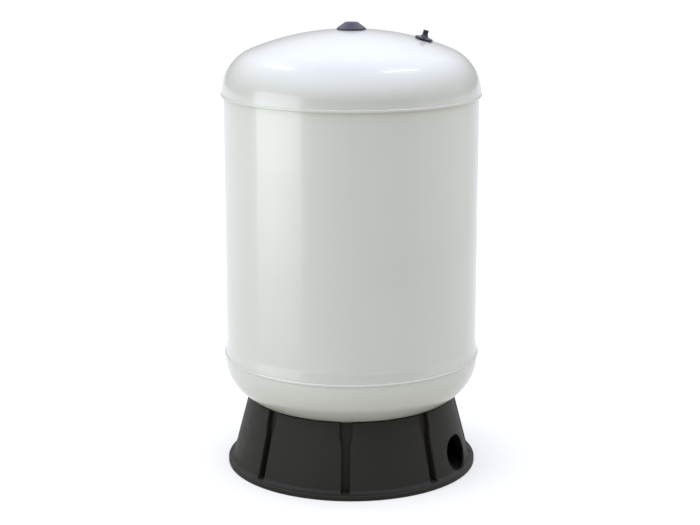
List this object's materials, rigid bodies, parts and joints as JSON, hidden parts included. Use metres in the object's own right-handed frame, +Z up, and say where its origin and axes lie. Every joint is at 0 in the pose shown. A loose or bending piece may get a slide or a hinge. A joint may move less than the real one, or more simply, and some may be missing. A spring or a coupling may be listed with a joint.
{
  "type": "expansion vessel",
  "caption": "Upright steel diaphragm expansion vessel with dished ends on a fluted moulded skirt base, air valve and apex cap on top, pipe opening low in the base.",
  "frame": {"origin": "centre of the base's footprint on the floor", "axes": "+Z up along the vessel's axis, +X out through the pipe opening in the base"},
  "size_m": [0.545, 0.545, 0.9469],
  "materials": {
    "vessel_paint": "gloss off-white enamel",
    "base_plastic": "fine-grained charcoal moulding",
    "cap_plastic": "smooth black moulding",
    "stainless": "pickled stainless steel",
    "zinc_steel": "bright zinc plate",
    "spring_steel": "plain spring wire",
    "valve_brass": "turned brass",
    "black_rubber": "matt moulded rubber",
    "liner_plastic": "natural polypropylene"
  },
  "bodies": {
    "vessel": {"base": "base_plastic", "base_studs": "zinc_steel", "stud_washers": "zinc_steel", "stud_nuts": "zinc_steel", "lower_head": "vessel_paint", "lower_seam_weld": "vessel_paint", "shell": "vessel_paint", "upper_seam_weld": "vessel_paint", "upper_head": "vessel_paint", "inlet_socket": "stainless", "elbow_pipe": "stainless", "outlet_socket": "stainless", "liner": "liner_plastic", "neck_retainer": "liner_plastic", "neck_o_rings": "black_rubber", "diaphragm": "black_rubber", "clamp_ring": "zinc_steel", "apex_boss": "vessel_paint", "air_valve_bush": "vessel_paint", "air_valve_gasket": "black_rubber", "air_valve_stem": "valve_brass", "valve_core_body": "valve_brass", "valve_core_spring": "spring_steel"},
    "apex_cap_seal": {"apex_cap_seal": "black_rubber"},
    "apex_cap": {"apex_cap": "cap_plastic"},
    "air_valve_cap_seal": {"air_valve_cap_seal": "black_rubber"},
    "air_valve_cap": {"air_valve_cap": "cap_plastic"},
    "valve_core": {"valve_core_pin": "valve_brass", "valve_core_seal": "black_rubber"},
    "diaphragm_crown": {"diaphragm_crown": "black_rubber"}
  },
  "joints": [
    {"name": "apex_cap_lift", "type": "slide", "parent": "vessel", "child": "apex_cap_seal", "axis": [0, 0, 1], "range_m": [0, 0.00801]},
    {"name": "apex_cap_turn", "type": "hinge", "parent": "apex_cap_seal", "child": "apex_cap", "pos_m": [0, 0, 0.93239], "axis": [0, 0, 1], "range_deg": [0, 1440]},
    {"name": "air_valve_cap_lift", "type": "slide", "parent": "vessel", "child": "air_valve_cap_seal", "axis": [0.2543, 0.0841, 0.9635], "range_m": [0, 0.00477]},
    {"name": "air_valve_cap_turn", "type": "hinge", "parent": "air_valve_cap_seal", "child": "air_valve_cap", "pos_m": [0.14496, 0.04794, 0.92156], "axis": [0.2543, 0.0841, 0.9635], "range_deg": [0, 2160]},
    {"name": "valve_core_press", "type": "slide", "parent": "vessel", "child": "valve_core", "axis": [-0.2543, -0.0841, -0.9635], "range_m": [0, 0.0012], "stiffness_N_per_m": 500, "springref_m": -0.002, "deforming": ["valve_core_spring"]},
    {"name": "diaphragm_rise", "type": "slide", "parent": "vessel", "child": "diaphragm_crown", "axis": [0, 0, 1], "range_m": [0, 0.31], "deforming": ["diaphragm"]}
  ],
  "couplings": [
    {"joint": "apex_cap_lift", "follows": "apex_cap_turn", "m_per_rad": 0.00031831},
    {"joint": "air_valve_cap_lift", "follows": "air_valve_cap_turn", "m_per_rad": 0.00012637}
  ]
}
